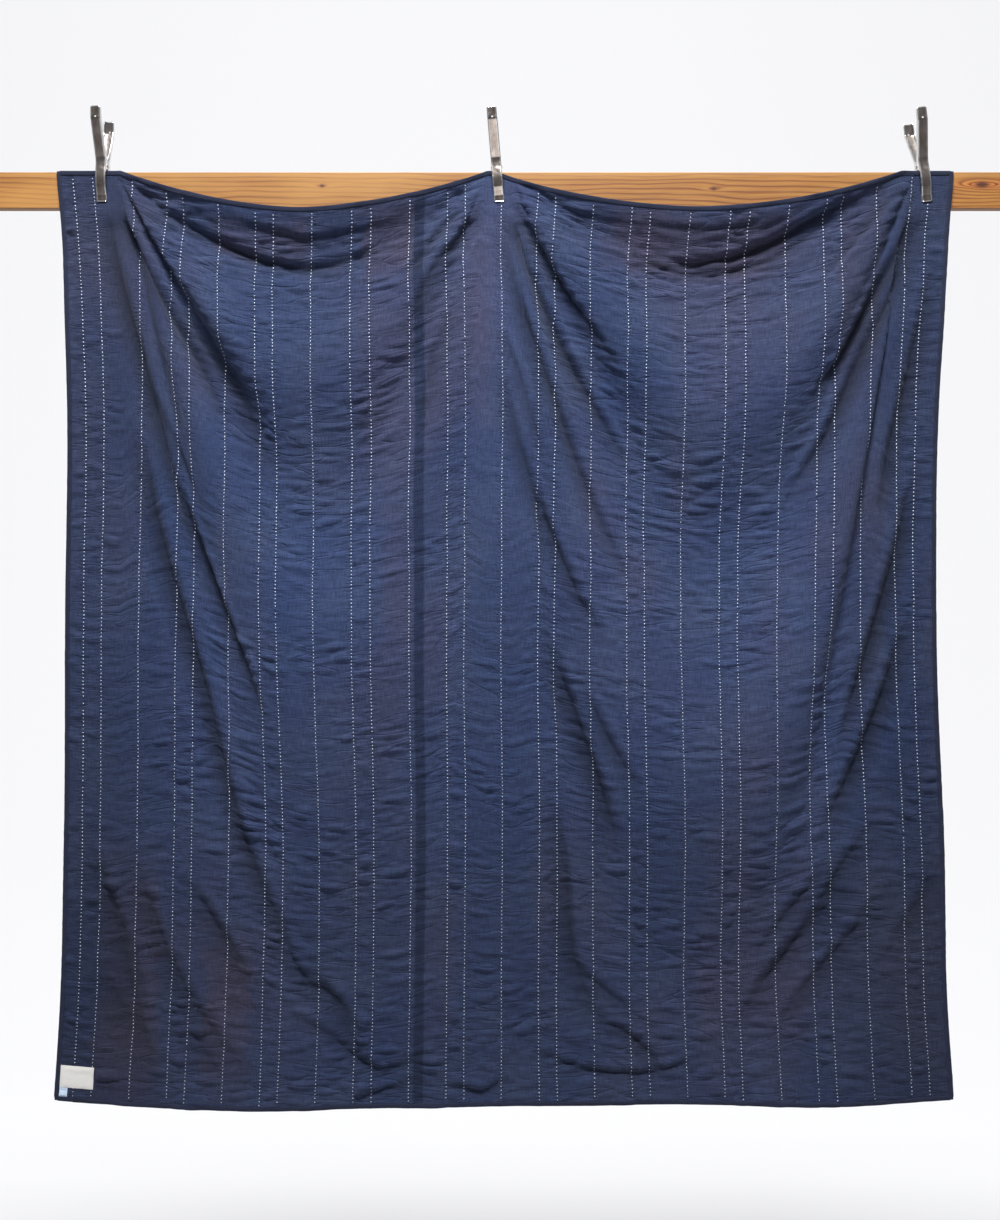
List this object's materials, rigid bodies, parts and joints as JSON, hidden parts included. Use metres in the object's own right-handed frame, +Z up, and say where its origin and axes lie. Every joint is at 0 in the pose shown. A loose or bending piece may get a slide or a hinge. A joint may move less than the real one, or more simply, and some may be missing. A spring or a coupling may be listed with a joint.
{
  "type": "kantha quilt clipped to a wooden rail by spring clamps",
  "caption": "Hand-stitched navy quilt with rows of pale running stitch, hung in soft swags from a plain timber rail by steel spring clamps.",
  "frame": {"origin": "middle of the rail's underside, half way along it and half way through its thickness", "axes": "+X along the rail to the right as seen from the quilt's face, +Y away from that face towards the back, +Z up"},
  "size_m": [2.6, 0.131, 2.4397],
  "materials": {
    "pine": "planed softwood, bare, with knots",
    "quilt_cotton": "thin overdyed navy cotton with pale running stitch",
    "binding_cotton": "darker navy cotton, folded over the edge",
    "label_cotton": "off-white woven cotton, bare",
    "tab_cotton": "pale blue woven cotton, bare",
    "clamp_steel": "bright plated pressed steel",
    "spring_steel": "bright plated wire and pin"
  },
  "bodies": {
    "root": {"rail": "pine", "quilt": "quilt_cotton", "binding": "binding_cotton", "label": "label_cotton", "label_tab": "tab_cotton", "clamp_left_front_arm": "clamp_steel", "clamp_left_rear_arm": "clamp_steel", "clamp_left_pin": "spring_steel", "clamp_left_spring": "spring_steel", "clamp_middle_front_arm": "clamp_steel", "clamp_middle_rear_arm": "clamp_steel", "clamp_middle_pin": "spring_steel", "clamp_middle_spring": "spring_steel", "clamp_right_front_arm": "clamp_steel", "clamp_right_rear_arm": "clamp_steel", "clamp_right_pin": "spring_steel", "clamp_right_spring": "spring_steel"}
  },
  "joints": []
}
